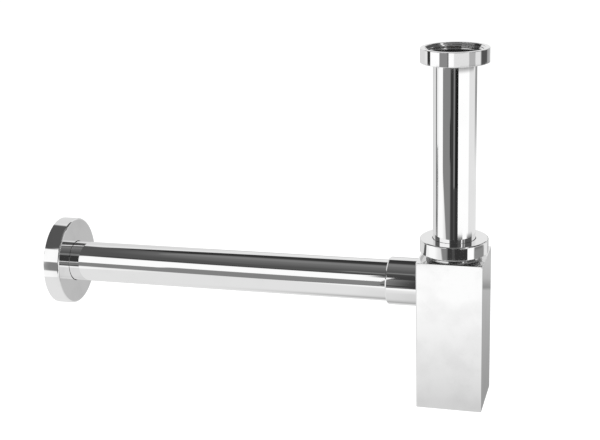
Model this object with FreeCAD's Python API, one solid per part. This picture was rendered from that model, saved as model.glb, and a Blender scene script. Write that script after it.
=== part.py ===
"""Square bottle trap for a wash basin, in chromed brass.

Waste water comes down the inlet tube, turns round its lower end inside the square body,
rises outside the tube and leaves through the side outlet pipe, which a round flange
covers where it enters the wall. The water that stays in the body is the odour seal.

Millimetres, +Z up. The origin is the centre of the inlet's sealing face, the top of the
rubber washer on which the basin waste seats. The outlet runs along -X.
"""
import FreeCAD
import Part
import math
import os

# Inlet and outlet pipework
inlet_diameter = 32.0
inlet_wall = 1.0
outlet_diameter = 32.0
outlet_wall = 1.0

# Main distances of the assembled trap
seal_to_body_top = 152.0
dip_below_body_top = 90.0
outlet_axis_below_body_top = 24.0
wall_distance = 326.3
pipe_beyond_wall = 10.0

# The neck's seal and rim set the inch and a quarter thread, drawn as plain walls near its pitch line
cone_seal_width = 2.4
neck_rim_wall = 1.8
thread_clearance = 0.1
thread_run_out_depth = 0.8

# Union nut that hangs the trap on the basin waste
inlet_nut_wall = 4.9
inlet_nut_lip = 1.8
inlet_nut_above_seal = 5.7
inlet_nut_mouth_chamfer = 1.6
nut_edge_radius = 0.8
tube_flange_thickness = 1.2
tube_flange_side_gap = 1.0
washer_thickness = 2.0

# Compression nut and its seal on the neck of the body
collar_wall = 5.45
collar_height = 10.4
collar_lip = 2.6
collar_gap = 3.3
collar_edge_radius = 1.0
collar_foot_radius = 0.4
lip_hole_clearance = 0.4
slip_ring_thickness = 1.5
slip_ring_clearance = 0.2
slip_ring_side_gap = 1.0
cone_seat_depth = 6.0
cone_seal_stand_up = 1.0
cone_seal_tip_lift = 0.8
neck_bore_clearance = 0.5

# Square body
body_width = 50.0
body_height = 117.0
body_wall = 2.5
body_roof = 3.0
body_floor = 8.0
body_corner_radius = 1.0
body_edge_radius = 0.6
cavity_corner_radius = 3.5
outlet_pad_wall = 5.5
outlet_pad_thickness = 3.5

# Socket that holds the outlet pipe
socket_wall = 2.35
socket_length = 25.2
socket_depth = 22.0
socket_mouth_chamfer = 1.1
socket_lead_in = 0.5
spigot_wall = 3.0
gasket_width = 1.7
gasket_thickness = 1.0

# Rubber rings that grip a pipe
ring_section_height = 1.35
ring_section_width = 2.0
ring_groove_play = 0.2
outer_ring_from_mouth = 5.0
inner_ring_from_mouth = 11.0

# Wall flange
flange_diameter = 70.0
flange_depth = 13.3
flange_skin = 1.8
flange_edge_radius = 0.8
flange_hub_wall = 2.9
flange_hub_length = 8.0

# Cleaning plug in the floor of the body
plug_thread_radius = 17.9
plug_head_radius = 21.3
plug_head_thickness = 3.0
plug_head_recess = 0.1
plug_seat_side_gap = 0.2
plug_shank_wall = 2.4
plug_ring_section = 2.0
plug_ring_squeeze = 0.4
plug_ring_side_gap = 0.1
plug_ring_from_edge = 1.5
coin_slot_length = 24.0
coin_slot_width = 3.0
coin_slot_depth = 1.4

# Gap that every sliding or turning fit keeps, and the smallest gap between still pieces
running_clearance = 0.05
still_clearance = 0.02

# How far a cutting shape runs past the face that it opens
cut_overshoot = 1.0

# Worked-out places
inlet_radius = inlet_diameter / 2
outlet_radius = outlet_diameter / 2
cone_seat_mouth_radius = inlet_radius + cone_seal_width
neck_radius = cone_seat_mouth_radius + neck_rim_wall
nut_thread_radius = neck_radius + thread_clearance
body_top = -seal_to_body_top
body_bottom = body_top - body_height
half_width = body_width / 2
outlet_axis_height = body_top - outlet_axis_below_body_top
cavity_top = body_top - body_roof
cavity_bottom = body_bottom + body_floor
tube_flange_top = -washer_thickness
tube_flange_bottom = tube_flange_top - tube_flange_thickness
tube_flange_radius = nut_thread_radius - tube_flange_side_gap
collar_top = body_top + collar_gap + collar_height
collar_lip_underside = collar_top - collar_lip
slip_ring_bottom = collar_lip_underside - slip_ring_thickness
neck_top = slip_ring_bottom - cone_seal_stand_up
neck_bore_radius = inlet_radius + neck_bore_clearance
socket_mouth = half_width + socket_length
socket_shoulder = socket_mouth - socket_depth
socket_bore_radius = outlet_radius + running_clearance
socket_radius = socket_bore_radius + socket_wall
spigot_radius = outlet_radius
spigot_bore_radius = spigot_radius - spigot_wall
outlet_pad_radius = spigot_radius + outlet_pad_wall
pad_face = half_width - body_wall - outlet_pad_thickness
flange_face = wall_distance - flange_depth
plug_seat_height = body_bottom + plug_head_recess + plug_head_thickness + plug_ring_squeeze
plug_ring_radius = plug_head_radius - plug_ring_from_edge - plug_ring_section / 2


def vector(x, y, z):
    """A point or direction."""
    return FreeCAD.Vector(x, y, z)


def outline(corners):
    """Closed wire in the XZ plane through (radius, height) corners.

    A corner's third number, if it has one, rounds it to that radius.
    """
    count = len(corners)
    edges = []
    starts = []
    ends = []
    for i in range(count):
        here = vector(corners[i][0], 0, corners[i][1])
        rounding = corners[i][2] if len(corners[i]) > 2 else 0.0
        if rounding == 0.0:
            starts.append(here)
            ends.append(here)
            edges.append(None)
            continue
        before = vector(corners[i - 1][0], 0, corners[i - 1][1])
        after = vector(corners[(i + 1) % count][0], 0, corners[(i + 1) % count][1])
        back = (before - here).normalize()
        ahead = (after - here).normalize()
        half_angle = back.getAngle(ahead) / 2
        reach = rounding / math.tan(half_angle)
        middle = (back + ahead).normalize()
        arc_point = here + middle * (rounding / math.sin(half_angle) - rounding)
        starts.append(here + back * reach)
        ends.append(here + ahead * reach)
        edges.append(Part.Arc(starts[i], arc_point, ends[i]).toShape())
    wire = []
    for i in range(count):
        if edges[i] is not None:
            wire.append(edges[i])
        following = starts[(i + 1) % count]
        if ends[i].distanceToPoint(following) > 1e-7:
            wire.append(Part.LineSegment(ends[i], following).toShape())
    return Part.Wire(wire)


def turned(corners):
    """Solid of revolution about the inlet axis from an outline of (radius, height) corners."""
    section = Part.Face(outline(corners))
    return section.revolve(vector(0, 0, 0), vector(0, 0, 1), 360)


def along_outlet(shape):
    """Lays a shape that was turned about Z along the outlet: height becomes the way to the wall."""
    shape.rotate(vector(0, 0, 0), vector(0, 1, 0), -90)
    shape.translate(vector(0, 0, outlet_axis_height))
    return shape


def tube_between(inner_radius, outer_radius, low, high):
    """Plain ring or tube about Z."""
    return turned([
        (inner_radius, low),
        (outer_radius, low),
        (outer_radius, high),
        (inner_radius, high),
    ])


def square_prism(width, low, high, corner_radius):
    """Upright square bar with rounded corners."""
    bar = Part.makeBox(width, width, high - low, vector(-width / 2, -width / 2, low))
    upright = [edge for edge in bar.Edges if abs(edge.tangentAt(0).z) > 0.9]
    return bar.makeFillet(corner_radius, upright)


def rim_edges(shape, height):
    """Edges of a shape that lie wholly at one height."""
    return [
        edge for edge in shape.Edges
        if abs(edge.BoundBox.ZMin - height) < 1e-6 and abs(edge.BoundBox.ZMax - height) < 1e-6
    ]


def grip_ring(pipe_radius, centre):
    """Rubber ring squeezed flat against a pipe, about Z, with its middle at a height."""
    inner = pipe_radius + running_clearance
    outer = inner + ring_section_height
    rounding = ring_section_height / 2 - still_clearance
    low = centre - ring_section_width / 2
    high = centre + ring_section_width / 2
    return turned([
        (inner, low, rounding),
        (outer, low, rounding),
        (outer, high, rounding),
        (inner, high, rounding),
    ])


def grip_ring_groove(pipe_radius, centre):
    """Room that a grip ring needs in the wall round it."""
    bottom = pipe_radius + running_clearance + ring_section_height + still_clearance
    half = ring_section_width / 2 + ring_groove_play
    return tube_between(pipe_radius, bottom, centre - half, centre + half)


def make_inlet_nut():
    """Round union nut whose lip holds the tube's flange, with its thread above the seal."""
    top = inlet_nut_above_seal
    bottom = tube_flange_bottom - inlet_nut_lip
    outer = nut_thread_radius + inlet_nut_wall
    hole = inlet_radius + lip_hole_clearance
    return turned([
        (hole, bottom),
        (outer, bottom, nut_edge_radius),
        (outer, top, nut_edge_radius),
        (nut_thread_radius + inlet_nut_mouth_chamfer, top),
        (nut_thread_radius, top - inlet_nut_mouth_chamfer),
        (nut_thread_radius, 0),
        (nut_thread_radius + thread_run_out_depth, 0),
        (nut_thread_radius + thread_run_out_depth, tube_flange_bottom),
        (hole, tube_flange_bottom),
    ])


def make_inlet_washer():
    """Flat rubber washer on the tube's flange."""
    return tube_between(inlet_radius - inlet_wall, tube_flange_radius, tube_flange_top, 0)


def make_inlet_tube():
    """Straight tube with a flange at its top, open below inside the body."""
    bore = inlet_radius - inlet_wall
    low = body_top - dip_below_body_top
    return turned([
        (bore, low),
        (inlet_radius, low),
        (inlet_radius, tube_flange_bottom),
        (tube_flange_radius, tube_flange_bottom),
        (tube_flange_radius, tube_flange_top),
        (bore, tube_flange_top),
    ])


def make_collar_nut():
    """Round compression nut on the neck, which squeezes the cone seal against the tube."""
    outer = nut_thread_radius + collar_wall
    hole = inlet_radius + lip_hole_clearance
    return turned([
        (nut_thread_radius, body_top + collar_gap),
        (outer, body_top + collar_gap, collar_foot_radius),
        (outer, collar_top, collar_edge_radius),
        (hole, collar_top),
        (hole, collar_lip_underside),
        (nut_thread_radius, collar_lip_underside),
    ])


def make_slip_ring():
    """Hard ring that lets the collar turn without dragging the seal."""
    return tube_between(
        inlet_radius + slip_ring_clearance,
        nut_thread_radius - slip_ring_side_gap,
        slip_ring_bottom,
        collar_lip_underside,
    )


def cone_seat_radius(height):
    """Radius of the conical seat in the neck at a height, from the tube's bore to the mouth."""
    share = (height - (neck_top - cone_seat_depth)) / cone_seat_depth
    return neck_bore_radius + share * (cone_seat_mouth_radius - neck_bore_radius)


def make_cone_seal():
    """Rubber cone between the seat in the neck and the tube."""
    tip = neck_top - cone_seat_depth + cone_seal_tip_lift
    inner = inlet_radius + running_clearance
    mouth = cone_seat_mouth_radius - still_clearance
    return turned([
        (inner, tip),
        (cone_seat_radius(tip) - still_clearance, tip),
        (mouth, neck_top),
        (mouth, slip_ring_bottom),
        (inner, slip_ring_bottom),
    ])


def make_trap_body():
    """Square casting with the inlet neck on top, the outlet's threaded pad and the plug's seat."""
    body = square_prism(body_width, body_bottom, body_top, body_corner_radius)
    body = body.makeFillet(
        body_edge_radius, rim_edges(body, body_top) + rim_edges(body, body_bottom)
    )
    cavity_width = body_width - 2 * body_wall
    body = body.cut(square_prism(cavity_width, cavity_bottom, cavity_top, cavity_corner_radius))
    neck = Part.makeCylinder(neck_radius, neck_top - body_top, vector(0, 0, body_top))
    pad = along_outlet(Part.makeCylinder(
        outlet_pad_radius, half_width - body_wall / 2 - pad_face, vector(0, 0, pad_face)
    ))
    body = body.fuse([neck, pad])
    inlet_opening = turned([
        (0, cavity_top - cut_overshoot),
        (neck_bore_radius, cavity_top - cut_overshoot),
        (neck_bore_radius, neck_top - cone_seat_depth),
        (cone_seat_mouth_radius, neck_top),
        (cone_seat_mouth_radius, neck_top + cut_overshoot),
        (0, neck_top + cut_overshoot),
    ])
    outlet_opening = along_outlet(Part.makeCylinder(
        spigot_radius + running_clearance, body_width, vector(0, 0, pad_face - cut_overshoot)
    ))
    plug_opening = turned([
        (0, body_bottom - cut_overshoot),
        (plug_head_radius + plug_seat_side_gap, body_bottom - cut_overshoot),
        (plug_head_radius + plug_seat_side_gap, plug_seat_height),
        (plug_thread_radius + thread_clearance, plug_seat_height),
        (plug_thread_radius + thread_clearance, cavity_bottom + cut_overshoot),
        (0, cavity_bottom + cut_overshoot),
    ])
    return body.cut([inlet_opening, outlet_opening, plug_opening]).removeSplitter()


def make_outlet_socket():
    """Turned sleeve screwed into the side of the body, with two grooves for grip rings."""
    recess_radius = spigot_radius + gasket_width
    socket = turned([
        (spigot_bore_radius, pad_face),
        (spigot_radius, pad_face),
        (spigot_radius, half_width + gasket_thickness),
        (recess_radius, half_width + gasket_thickness),
        (recess_radius, half_width),
        (socket_radius, half_width),
        (socket_radius, socket_mouth - socket_mouth_chamfer),
        (socket_radius - socket_mouth_chamfer, socket_mouth),
        (socket_bore_radius + socket_lead_in, socket_mouth),
        (socket_bore_radius, socket_mouth - socket_lead_in),
        (socket_bore_radius, socket_shoulder),
        (spigot_bore_radius, socket_shoulder),
    ])
    grooves = [
        grip_ring_groove(outlet_radius, socket_mouth - depth)
        for depth in (outer_ring_from_mouth, inner_ring_from_mouth)
    ]
    return along_outlet(socket.cut(grooves))


def make_socket_gasket():
    """Flat gasket between the socket's shoulder and the side of the body."""
    return along_outlet(tube_between(
        spigot_radius + running_clearance,
        spigot_radius + gasket_width - running_clearance,
        half_width,
        half_width + gasket_thickness,
    ))


def make_socket_ring(depth):
    """Grip ring in the socket, at a depth from its mouth."""
    return along_outlet(grip_ring(outlet_radius, socket_mouth - depth))


def make_outlet_pipe():
    """Straight pipe from the socket's shoulder through the flange into the wall."""
    return along_outlet(tube_between(
        outlet_radius - outlet_wall,
        outlet_radius,
        socket_shoulder,
        wall_distance + pipe_beyond_wall,
    ))


def flange_ring_centre():
    """Place of the flange's grip ring on the way to the wall."""
    return flange_face + flange_skin + (flange_hub_length - flange_skin) / 2


def make_wall_flange():
    """Round cover cup with a flat face, a deep rim and a short hub behind the face."""
    outer = flange_diameter / 2
    hole = outlet_radius + lip_hole_clearance
    hub = hole + flange_hub_wall
    inside = flange_face + flange_skin
    hub_end = flange_face + flange_hub_length
    flange = turned([
        (hole, flange_face),
        (outer, flange_face, flange_edge_radius),
        (outer, wall_distance),
        (outer - flange_skin, wall_distance),
        (outer - flange_skin, inside),
        (hub, inside),
        (hub, hub_end),
        (hole, hub_end),
    ])
    return along_outlet(flange.cut(grip_ring_groove(outlet_radius, flange_ring_centre())))


def make_flange_ring():
    """Grip ring that holds the flange where it is put on the pipe."""
    return along_outlet(grip_ring(outlet_radius, flange_ring_centre()))


def make_cleaning_plug():
    """Threaded plug flush with the underside, with a coin slot and a groove for its ring."""
    low = body_bottom + plug_head_recess
    head_top = low + plug_head_thickness
    shank_bore = plug_thread_radius - plug_shank_wall
    plug = turned([
        (0, low),
        (plug_head_radius, low),
        (plug_head_radius, head_top),
        (plug_thread_radius, head_top),
        (plug_thread_radius, cavity_bottom),
        (shank_bore, cavity_bottom),
        (shank_bore, head_top),
        (0, head_top),
    ])
    half_groove = plug_ring_section / 2 + plug_ring_side_gap
    groove = tube_between(
        plug_ring_radius - half_groove,
        plug_ring_radius + half_groove,
        head_top - (plug_ring_section - plug_ring_squeeze),
        head_top + cut_overshoot,
    )
    slot = Part.makeBox(
        coin_slot_length,
        coin_slot_width,
        coin_slot_depth + cut_overshoot,
        vector(-coin_slot_length / 2, -coin_slot_width / 2, low - cut_overshoot),
    )
    return plug.cut([groove, slot])


def make_plug_ring():
    """Sealing ring between the plug's head and its seat."""
    section = plug_ring_section / 2 - running_clearance
    centre = plug_seat_height - plug_ring_section / 2
    return Part.makeTorus(plug_ring_radius, section, vector(0, 0, centre), vector(0, 0, 1))


pieces = {
    "inlet_nut": make_inlet_nut(),
    "inlet_washer": make_inlet_washer(),
    "inlet_tube": make_inlet_tube(),
    "collar_nut": make_collar_nut(),
    "slip_ring": make_slip_ring(),
    "cone_seal": make_cone_seal(),
    "trap_body": make_trap_body(),
    "outlet_socket": make_outlet_socket(),
    "socket_gasket": make_socket_gasket(),
    "socket_ring_outer": make_socket_ring(outer_ring_from_mouth),
    "socket_ring_inner": make_socket_ring(inner_ring_from_mouth),
    "outlet_pipe": make_outlet_pipe(),
    "wall_flange": make_wall_flange(),
    "flange_ring": make_flange_ring(),
    "cleaning_plug": make_cleaning_plug(),
    "plug_ring": make_plug_ring(),
}

os.makedirs("parts", exist_ok=True)
for name, shape in pieces.items():
    shape.exportStep(os.path.join("parts", name + ".step"))
    print(name, "solids", len(shape.Solids), "valid", shape.isValid(), "volume", round(shape.Volume, 1))
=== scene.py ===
"""Looks of a square bottle trap in mirror chrome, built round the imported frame.

The trap hangs from its union nut: an upright inlet tube runs down into a square body, and a
straight outlet pipe leaves the body's left side for a round wall flange. Every piece is made
here again with close seams, true roundings and real screw threads, and stands for the plain
solid of the same name. Sizes are in millimetres up to the point where a mesh is made.
"""
import logging
import math
from dataclasses import dataclass
from enum import Enum
from typing import Callable, ClassVar, Sequence

import bpy
import numpy as np
from mathutils import Matrix, Vector


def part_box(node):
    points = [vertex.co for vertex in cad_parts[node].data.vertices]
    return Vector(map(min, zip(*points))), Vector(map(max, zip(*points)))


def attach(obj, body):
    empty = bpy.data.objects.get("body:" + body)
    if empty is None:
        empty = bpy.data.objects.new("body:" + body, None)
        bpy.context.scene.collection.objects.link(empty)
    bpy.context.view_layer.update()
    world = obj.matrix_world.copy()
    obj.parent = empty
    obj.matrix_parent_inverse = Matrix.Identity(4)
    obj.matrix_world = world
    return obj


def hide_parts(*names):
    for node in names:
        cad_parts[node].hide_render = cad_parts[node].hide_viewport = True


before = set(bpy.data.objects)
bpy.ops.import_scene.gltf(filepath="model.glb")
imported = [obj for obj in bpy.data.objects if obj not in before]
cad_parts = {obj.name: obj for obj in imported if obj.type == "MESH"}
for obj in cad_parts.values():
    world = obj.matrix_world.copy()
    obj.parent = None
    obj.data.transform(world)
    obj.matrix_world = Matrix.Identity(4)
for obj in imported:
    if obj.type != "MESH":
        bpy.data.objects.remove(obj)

log = logging.getLogger("trap")

MM = 0.001


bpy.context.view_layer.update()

Colour = tuple[float, float, float, float]
Settings = dict[str, object]
Sockets = dict[str | int, object]


class Axis(Enum):
    """The line about which a piece is turned."""

    INLET = "inlet"
    OUTLET = "outlet"


class Lay(Enum):
    """Which way the polishing lines of a finish run."""

    ROUND = "round the axis"
    ALONG = "along the axis"
    FLAT = "up and down on flat faces"


class Thread(Enum):
    """On which side of its wall a piece carries a screw thread."""

    NONE = "none"
    INSIDE = "inside"
    OUTSIDE = "outside"


class Work(Enum):
    """What a tool does to the solid that it meets."""

    JOIN = "UNION"
    CUT = "DIFFERENCE"


class Slot(Enum):
    """The record's material slots."""

    CHROME = "chromed_brass"
    RUBBER = "black_rubber"
    PLASTIC = "slip_plastic"


class Value:
    """A node's output in a Python expression, whose operators add Math nodes."""

    def __init__(self, graph: "Graph", socket: bpy.types.NodeSocket) -> None:
        """Keeps the output and the graph that new nodes go into."""
        self.graph = graph
        self.socket = socket

    def __add__(self, other: "Term") -> "Value":
        """This value plus another."""
        return self.graph.maths("ADD", self, other)

    def __radd__(self, other: "Term") -> "Value":
        """A number plus this value."""
        return self.graph.maths("ADD", other, self)

    def __sub__(self, other: "Term") -> "Value":
        """This value less another."""
        return self.graph.maths("SUBTRACT", self, other)

    def __rsub__(self, other: "Term") -> "Value":
        """A number less this value."""
        return self.graph.maths("SUBTRACT", other, self)

    def __mul__(self, other: "Term") -> "Value":
        """This value times another."""
        return self.graph.maths("MULTIPLY", self, other)

    def __rmul__(self, other: "Term") -> "Value":
        """A number times this value."""
        return self.graph.maths("MULTIPLY", other, self)

    def __truediv__(self, other: "Term") -> "Value":
        """This value divided by another."""
        return self.graph.maths("DIVIDE", self, other)

    def __rtruediv__(self, other: "Term") -> "Value":
        """A number divided by this value."""
        return self.graph.maths("DIVIDE", other, self)


Term = Value | int | float


@dataclass(frozen=True)
class Noise:
    """A noise pattern: its waves to a unit of the vector, and its octaves of finer detail."""

    scale: float
    detail: float = 2.0


class Graph:
    """Adds nodes to one node tree, of a material, the world or a geometry modifier."""

    def __init__(self, tree: bpy.types.NodeTree) -> None:
        """Starts on a tree."""
        self.tree = tree

    def node(
        self, kind: str, settings: Settings | None = None, sockets: Sockets | None = None
    ) -> bpy.types.Node:
        """Adds any node.

        Args:
            kind: The node's type name.
            settings: Attributes that are set before the sockets are filled.
            sockets: What goes into each input, by name or number: a Value, a socket or a constant.

        Returns:
            The new node.
        """
        made = self.tree.nodes.new(kind)
        for name, setting in (settings or {}).items():
            setattr(made, name, setting)
        for key, given in (sockets or {}).items():
            source = given.socket if isinstance(given, Value) else given
            if isinstance(source, bpy.types.NodeSocket):
                self.tree.links.new(source, made.inputs[key])
            else:
                made.inputs[key].default_value = source
        return made

    def value(
        self,
        kind: str,
        settings: Settings | None = None,
        sockets: Sockets | None = None,
        output: str | int = 0,
    ) -> Value:
        """Adds any node and gives one of its outputs, by name or number, as a value."""
        return Value(self, self.node(kind, settings, sockets).outputs[output])

    def maths(self, operation: str, *terms: Term) -> Value:
        """Adds a Math node with its terms in order."""
        return self.value("ShaderNodeMath", {"operation": operation}, dict(enumerate(terms)))

    def vector(self, x: Term, y: Term, z: Term) -> Value:
        """Joins three values into a vector."""
        return self.value("ShaderNodeCombineXYZ", None, {0: x, 1: y, 2: z})

    def parts(self, vector: Value) -> tuple[Value, Value, Value]:
        """Splits a vector into its three values."""
        made = self.node("ShaderNodeSeparateXYZ", None, {0: vector})
        return tuple(Value(self, output) for output in made.outputs)

    def distance(self, x: Value, y: Value) -> Value:
        """Distance of a point from the axis that its two coordinates are measured from."""
        return self.maths("SQRT", x * x + y * y)

    def point(self) -> Value:
        """The shaded point in object coordinates, in metres."""
        return self.value("ShaderNodeTexCoord", output="Object")

    def mark(self, name: str) -> Value:
        """A number that the shaded mesh holds under a name."""
        return self.value("ShaderNodeAttribute", {"attribute_name": name}, output="Fac")

    def noise(self, vector: Value, pattern: Noise) -> Value:
        """A pattern's noise at a point, from 0 to 1."""
        sockets = {"Vector": vector, "Scale": pattern.scale, "Detail": pattern.detail}
        return self.value("ShaderNodeTexNoise", None, sockets)

    def ramp(self, value: Value, low: float, high: float) -> Value:
        """A smooth step from 0 at low to 1 at high."""
        sockets = {"Value": value, "From Min": low, "From Max": high}
        return self.value("ShaderNodeMapRange", {"interpolation_type": "SMOOTHSTEP"}, sockets)

    def mix(self, share: Term, first: object, second: object) -> Value:
        """Mixes two colours by a share of the second."""
        sockets = {"Factor": share, 6: first, 7: second}
        return self.value("ShaderNodeMix", {"data_type": "RGBA"}, sockets, output=2)

    def bump(
        self, height: Value, depth: float, strength: float = 1.0, over: Value | None = None
    ) -> Value:
        """Tilts the surface as if a pattern stood on it.

        Args:
            height: The pattern, from 0 to 1.
            depth: Height of its crests, in millimetres.
            strength: Share of the tilt that shows.
            over: The tilted normal on which this one is laid.

        Returns:
            The tilted normal.
        """
        sockets = {"Strength": strength, "Distance": depth * MM, "Height": height}
        if over:
            sockets["Normal"] = over
        return self.value("ShaderNodeBump", None, sockets)


def emptied(owner: bpy.types.Material | bpy.types.World) -> Graph:
    """Empties the node tree of a material or the world.

    Args:
        owner: The material or the world.

    Returns:
        The graph of its tree, ready to fill.
    """
    owner.use_nodes = True
    owner.node_tree.nodes.clear()
    return Graph(owner.node_tree)


def grey(level: float) -> Colour:
    """A neutral colour of one linear level."""
    return (level, level, level, 1.0)


@dataclass(frozen=True)
class Coat:
    """A finish as a piece wears it: its material and the record's slot."""

    material: bpy.types.Material
    slot: Slot


@dataclass(frozen=True)
class Finish:
    """A surface finish, which builds itself as one coat.

    Depths are in millimetres, and noise on object coordinates has its waves to a metre.
    """

    slot: ClassVar[Slot]
    name: str

    def surface(self, graph: Graph) -> Sockets:
        """What goes into the Principled shader, which each finish gives for itself."""
        raise NotImplementedError(self.name)

    def build(self) -> Coat:
        """Builds the coat, whose material has one Principled shader.

        Returns:
            The coat.
        """
        material = bpy.data.materials.new(self.name)
        graph = emptied(material)
        shader = graph.value("ShaderNodeBsdfPrincipled", None, self.surface(graph))
        graph.node("ShaderNodeOutputMaterial", None, {"Surface": shader})
        return Coat(material, self.slot)


@dataclass(frozen=True)
class Chrome(Finish):
    """Mirror chrome on brass, with its polishing lines, faint smears and machined threads.

    Each pair of line densities is across the lines and along them.
    """

    slot: ClassVar[Slot] = Slot.CHROME
    axis: Axis = Axis.INLET
    lay: Lay = Lay.ROUND
    outlet_height: float = 0.0
    reflectance: float = 0.9
    gloss_roughness: float = 0.022
    smear: Noise = Noise(46.0, 4.0)
    smear_span: tuple[float, float] = (0.42, 0.72)
    smear_roughness: float = 0.016
    smear_depth: float = 0.018
    machined_roughness: float = 0.02
    machined_level: float = 0.88
    # painted shade: the grey that stands in for the shade under the collar nut, where the mesh is
    # marked painted_shade
    painted_shade_level: float = 0.32
    grease_roughness: float = 0.2
    grease_patches: float = 0.1
    brass: Colour = (0.62, 0.45, 0.2, 1.0)
    brass_roughness: float = 0.3
    tarnish: Noise = Noise(160.0, 5.0)
    tarnish_shade: float = 0.72
    tarnish_roughness: float = 0.12
    lines: Noise = Noise(1.0, 3.0)
    turned_lines: tuple[float, float] = (3200.0, 0.8)
    drawn_lines: tuple[float, float] = (48.0, 9.0)
    flat_lines: tuple[float, float] = (2400.0, 20.0)
    line_roughness: float = 0.006
    line_depth: float = 0.00025
    ripple: Noise = Noise(70.0, 1.0)
    ripple_depth: float = 0.004
    centre_guard: float = 1e-6

    def around_axis(self, graph: Graph) -> tuple[Value, Value, Value, Value]:
        """Cylinder coordinates of a point on the piece.

        Args:
            graph: The material's graph.

        Returns:
            Cosine and sine of the turn, radius, and place along the axis, in metres.
        """
        x, y, z = graph.parts(graph.point())
        if self.axis is Axis.OUTLET:
            x, z = z - self.outlet_height * MM, x
        radius = graph.distance(x, y) + self.centre_guard
        return x / radius, y / radius, radius, z

    def polish(self, graph: Graph) -> Value:
        """Height pattern of the fine polishing lines, stretched along the lay.

        Args:
            graph: The material's graph.

        Returns:
            The pattern, from 0 to 1.
        """
        if self.lay is Lay.FLAT:
            across, along = self.flat_lines
            x, y, z = graph.parts(graph.point())
            return graph.noise(graph.vector(x * across, y * across, z * along), self.lines)
        cosine, sine, radius, place = self.around_axis(graph)
        if self.lay is Lay.ROUND:
            across, along = self.turned_lines
            lay = graph.vector(cosine * along, sine * along, (place + radius) * across)
        else:
            across, along = self.drawn_lines
            lay = graph.vector(cosine * across, sine * across, place * along)
        return graph.noise(lay, self.lines)

    def surface(self, graph: Graph) -> Sockets:
        """Chrome, changed where the mesh is marked as machined, bare or in painted shade.

        Args:
            graph: The material's graph.

        Returns:
            What goes into the Principled shader.
        """
        here = graph.point()
        lines = self.polish(graph)
        smear = graph.ramp(graph.noise(here, self.smear), *self.smear_span)
        tarnish = graph.noise(here, self.tarnish)
        machined, bare, painted_shade = (graph.mark(name) for name in Lathe.MARKS)
        smeared = grey(self.reflectance - self.smear_depth)
        dull = (*(level * self.tarnish_shade for level in self.brass[:3]), 1.0)
        plated = graph.mix(smear, grey(self.reflectance), smeared)
        plated = graph.mix(machined, plated, grey(self.machined_level))
        colour = graph.mix(bare, plated, graph.mix(tarnish, self.brass, dull))
        roughness = self.gloss_roughness + smear * self.smear_roughness
        roughness = roughness + lines * self.line_roughness + machined * self.machined_roughness
        roughness = roughness + bare * (self.brass_roughness + tarnish * self.tarnish_roughness)
        roughness = roughness + painted_shade * (self.grease_roughness + tarnish * self.grease_patches)
        fine = graph.bump(lines, self.line_depth)
        return {
            "Metallic": 1.0,
            # painted shade: darker grey where the mesh is marked painted_shade, for the shade under
            # the collar nut
            "Base Color": graph.mix(painted_shade, colour, grey(self.painted_shade_level)),
            "Roughness": roughness,
            "Normal": graph.bump(graph.noise(here, self.ripple), self.ripple_depth, over=fine),
        }


@dataclass(frozen=True)
class Rubber(Finish):
    """Moulded black rubber with a fine grain and a dusty bloom."""

    slot: ClassVar[Slot] = Slot.RUBBER
    tone: float = 0.018
    bloom_tone: float = 0.045
    bloom: Noise = Noise(130.0, 4.0)
    bloom_span: tuple[float, float] = (0.4, 0.75)
    bloom_roughness: float = 0.16
    grain: Noise = Noise(5200.0)
    grain_depth: float = 0.02
    grain_strength: float = 0.5
    grain_roughness: float = 0.06
    roughness: float = 0.52

    def surface(self, graph: Graph) -> Sockets:
        """Black, paler and duller where it has bloomed.

        Args:
            graph: The material's graph.

        Returns:
            What goes into the Principled shader.
        """
        here = graph.point()
        cloud = graph.ramp(graph.noise(here, self.bloom), *self.bloom_span)
        grain = graph.noise(here, self.grain)
        roughness = self.roughness + cloud * self.bloom_roughness + grain * self.grain_roughness
        return {
            "Base Color": graph.mix(cloud, grey(self.tone), grey(self.bloom_tone)),
            "Roughness": roughness,
            "Normal": graph.bump(grain, self.grain_depth, self.grain_strength),
        }


@dataclass(frozen=True)
class SlipPlastic(Finish):
    """Milky hard plastic of the slip ring, with turning marks."""

    slot: ClassVar[Slot] = Slot.PLASTIC
    tone: Colour = (0.74, 0.75, 0.73, 1.0)
    shade: Colour = (0.66, 0.67, 0.64, 1.0)
    cloud: Noise = Noise(90.0, 3.0)
    marks: Noise = Noise(2600.0)
    mark_depth: float = 0.01
    mark_strength: float = 0.4
    mark_roughness: float = 0.12
    roughness: float = 0.34

    def surface(self, graph: Graph) -> Sockets:
        """Milky white with rings of turning marks.

        Args:
            graph: The material's graph.

        Returns:
            What goes into the Principled shader.
        """
        here = graph.point()
        x, y, z = graph.parts(here)
        marks = graph.noise(graph.vector(0.0, 0.0, graph.distance(x, y) + z), self.marks)
        return {
            "Base Color": graph.mix(graph.noise(here, self.cloud), self.tone, self.shade),
            "Roughness": self.roughness + marks * self.mark_roughness,
            "Normal": graph.bump(marks, self.mark_depth, self.mark_strength),
        }


@dataclass(frozen=True)
class Corner:
    """One corner of a turned outline, in millimetres from the axis and along it.

    The marks hold from this corner to the next: threaded where the screw thread is cut, bare
    where the brass is unplated, painted_shade where the chrome is painted darker and duller in
    place of the shade under the collar nut and in the gap over the body.
    """

    radius: float
    height: float
    rounding: float = 0.0
    threaded: bool = False
    bare: bool = False
    painted_shade: bool = False

    @property
    def place(self) -> Vector:
        """Where the corner is before it is rounded."""
        return Vector((self.radius, self.height))

    @property
    def marks(self) -> tuple[float, float, float]:
        """The marks as numbers, in the lathe's order."""
        return float(self.threaded), float(self.bare), float(self.painted_shade)


@dataclass(frozen=True)
class ScrewForm:
    """Round-crested pipe thread, as the radii of its roots and crests."""

    pitch: float
    minor_radius: float
    major_radius: float

    def freed(self, clearance: float) -> "ScrewForm":
        """The same thread with every radius moved out by a clearance."""
        return ScrewForm(self.pitch, self.minor_radius + clearance, self.major_radius + clearance)


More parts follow.
